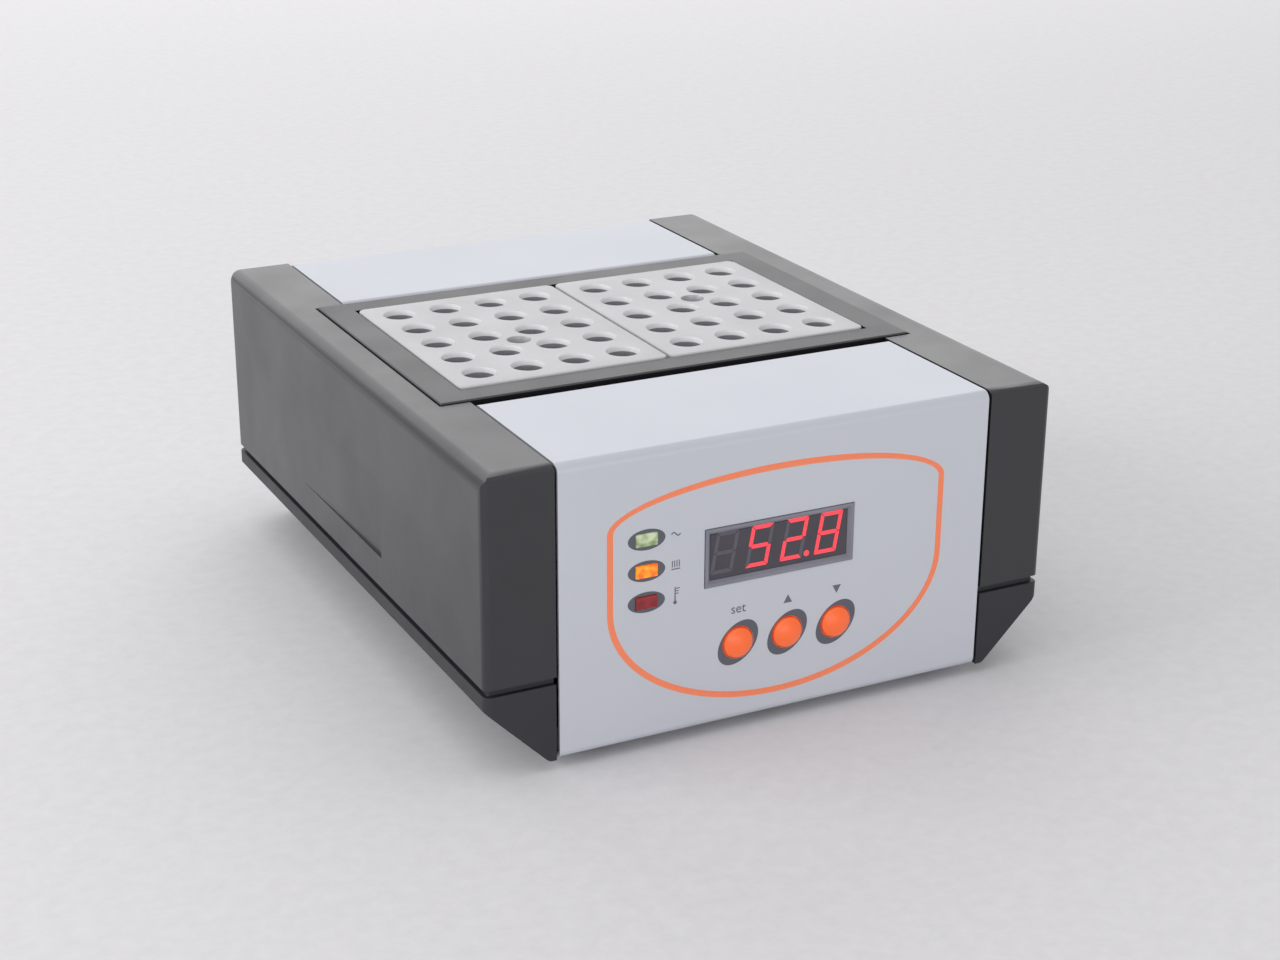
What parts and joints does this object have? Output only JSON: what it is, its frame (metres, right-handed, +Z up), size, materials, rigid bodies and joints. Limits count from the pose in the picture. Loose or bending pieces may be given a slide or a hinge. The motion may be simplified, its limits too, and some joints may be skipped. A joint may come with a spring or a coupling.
{
  "type": "dry bath incubator",
  "caption": "Bench heater for sample tubes: lift-out drilled aluminium blocks in a low silver and charcoal case with a digital display and orange buttons.",
  "frame": {"origin": "on the bench, under the middle of the whole outline", "axes": "+X to the right of someone who reads the display, +Y to the back, +Z up"},
  "size_m": [0.201, 0.2476, 0.1009],
  "materials": {
    "tray_plastic": "fine moulded texture, matt",
    "cheek_plastic": "charcoal, fine spark texture, satin",
    "cover_silver": "fine silver metallic paint, satin",
    "bezel_satin": "satin grey anodised look",
    "block_aluminium": "machined and clear anodised, satin",
    "inner_aluminium": "mill finish",
    "inner_steel": "zinc plated sheet",
    "heater_silicone": "moulded silicone",
    "insulation_felt": "needled mineral felt",
    "black_plastic": "matt",
    "display_frame": "satin moulded frame",
    "display_glass": "smoked, polished",
    "lamp_green": "translucent lens",
    "lamp_amber": "translucent lens, lit",
    "lamp_red": "translucent lens",
    "button_orange": "satin moulded caps",
    "board_green": "solder mask",
    "transformer_iron": "varnished laminations and coil",
    "relay_blue": "moulded case",
    "capacitor_yellow": "moulded case",
    "terminal_green": "moulded",
    "ribbon_grey": "ribbed vinyl",
    "loom_white": "sleeved wires",
    "inlet_black": "semi-gloss moulded",
    "pillar_brass": "nickel-flashed brass",
    "fuse_glass": "clear tube with metal caps",
    "foot_rubber": "matt rubber"
  },
  "bodies": {
    "case": {"base_tray": "tray_plastic", "left_cheek": "cheek_plastic", "right_cheek": "cheek_plastic", "front_cover": "cover_silver", "rear_cover": "cover_silver", "well_bezel": "bezel_satin", "well_liner": "inner_aluminium", "heater_plate": "inner_aluminium", "plate_sensor": "inner_steel", "heater_mat": "heater_silicone", "clamp_plate": "inner_steel", "insulation_board": "insulation_felt", "thermal_cutout": "black_plastic", "insulation_wrap": "insulation_felt", "heater_pan": "inner_steel", "pan_pillars": "pillar_brass", "display_bezel": "display_frame", "display_window": "display_glass", "display_module": "black_plastic", "lamp_mains": "lamp_green", "lamp_heater": "lamp_amber", "lamp_alarm": "lamp_red", "display_board": "board_green", "board_pillars": "pillar_brass", "button_switches": "black_plastic", "power_board": "board_green", "transformer": "transformer_iron", "heat_sink": "inner_aluminium", "triac": "black_plastic", "relay": "relay_blue", "capacitors": "capacitor_yellow", "terminal_block": "terminal_green", "ribbon_cable": "ribbon_grey", "mains_loom": "loom_white", "inlet_loom": "loom_white", "heater_loom": "loom_white", "power_inlet": "inlet_black", "inlet_pins": "pillar_brass", "switch_body": "inlet_black", "earth_tab": "pillar_brass", "rubber_feet": "foot_rubber"},
    "block_left": {"block_left": "block_aluminium"},
    "block_right": {"block_right": "block_aluminium"},
    "button_set": {"button_set": "button_orange"},
    "button_up": {"button_up": "button_orange"},
    "button_down": {"button_down": "button_orange"},
    "power_rocker": {"power_rocker": "inlet_black"},
    "fuse_drawer": {"fuse_drawer": "inlet_black", "fuses": "fuse_glass"}
  },
  "joints": [
    {"name": "block_left_lift", "type": "slide", "parent": "case", "child": "block_left", "axis": [0, 0, 1], "range_m": [0, 0.06]},
    {"name": "block_right_lift", "type": "slide", "parent": "case", "child": "block_right", "axis": [0, 0, 1], "range_m": [0, 0.06]},
    {"name": "button_set_press", "type": "slide", "parent": "case", "child": "button_set", "axis": [0, 1, 0], "range_m": [0, 0.0012], "stiffness_N_per_m": 800, "springref_m": -0.0005},
    {"name": "button_up_press", "type": "slide", "parent": "case", "child": "button_up", "axis": [0, 1, 0], "range_m": [0, 0.0012], "stiffness_N_per_m": 800, "springref_m": -0.0005},
    {"name": "button_down_press", "type": "slide", "parent": "case", "child": "button_down", "axis": [0, 1, 0], "range_m": [0, 0.0012], "stiffness_N_per_m": 800, "springref_m": -0.0005},
    {"name": "power_rocker_tilt", "type": "hinge", "parent": "case", "child": "power_rocker", "pos_m": [-0.002, 0.11875, 0.044], "axis": [1, 0, 0], "range_deg": [-18, 0]},
    {"name": "fuse_drawer_slide", "type": "slide", "parent": "case", "child": "fuse_drawer", "axis": [0, 1, 0], "range_m": [0, 0.015]}
  ]
}
